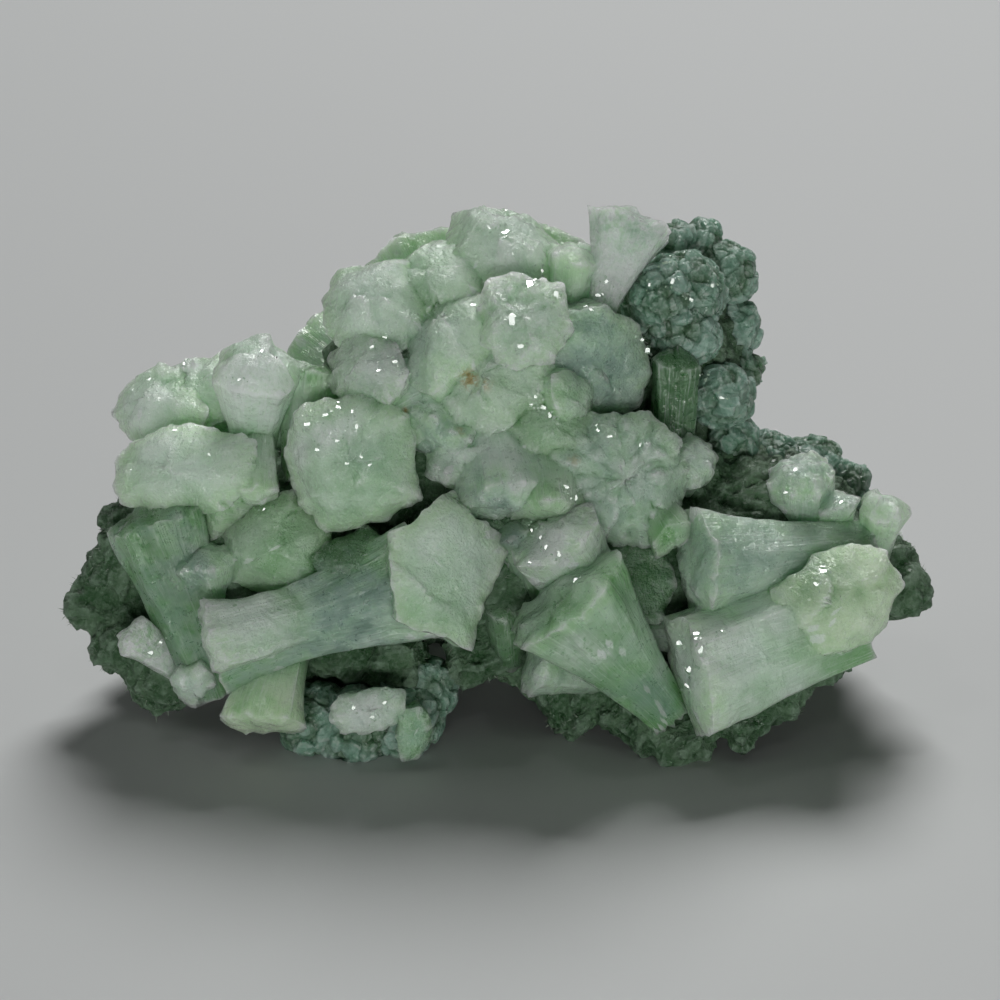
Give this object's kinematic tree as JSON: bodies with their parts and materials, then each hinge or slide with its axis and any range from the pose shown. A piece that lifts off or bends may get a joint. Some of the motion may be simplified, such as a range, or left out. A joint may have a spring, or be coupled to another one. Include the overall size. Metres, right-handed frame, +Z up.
{
  "type": "prehnite with byssolite mineral specimen",
  "caption": "Free-standing mineral specimen: pale green prehnite fans and bow-ties grown on a dark byssolite-filled rock.",
  "frame": {"origin": "middle of the bounding box's footprint, on the surface that the specimen rests on", "axes": "+Z up, +X to the right seen from the side with the long bow-ties, which faces -Y"},
  "size_m": [0.0806, 0.0396, 0.0469],
  "materials": {
    "prehnite": "glassy, translucent pale green",
    "frosted_prehnite": "frosted, translucent greenish white",
    "byssolite_rock": "rough, granular, dark green"
  },
  "bodies": {
    "root": {"prehnite_crown": "prehnite", "prehnite_west": "prehnite", "prehnite_middle_fan": "prehnite", "prehnite_east": "prehnite", "prehnite_back": "prehnite", "small_prehnite_west": "frosted_prehnite", "small_prehnite_foot": "frosted_prehnite", "small_prehnite_keel": "prehnite", "byssolite_rock": "byssolite_rock"}
  },
  "joints": []
}
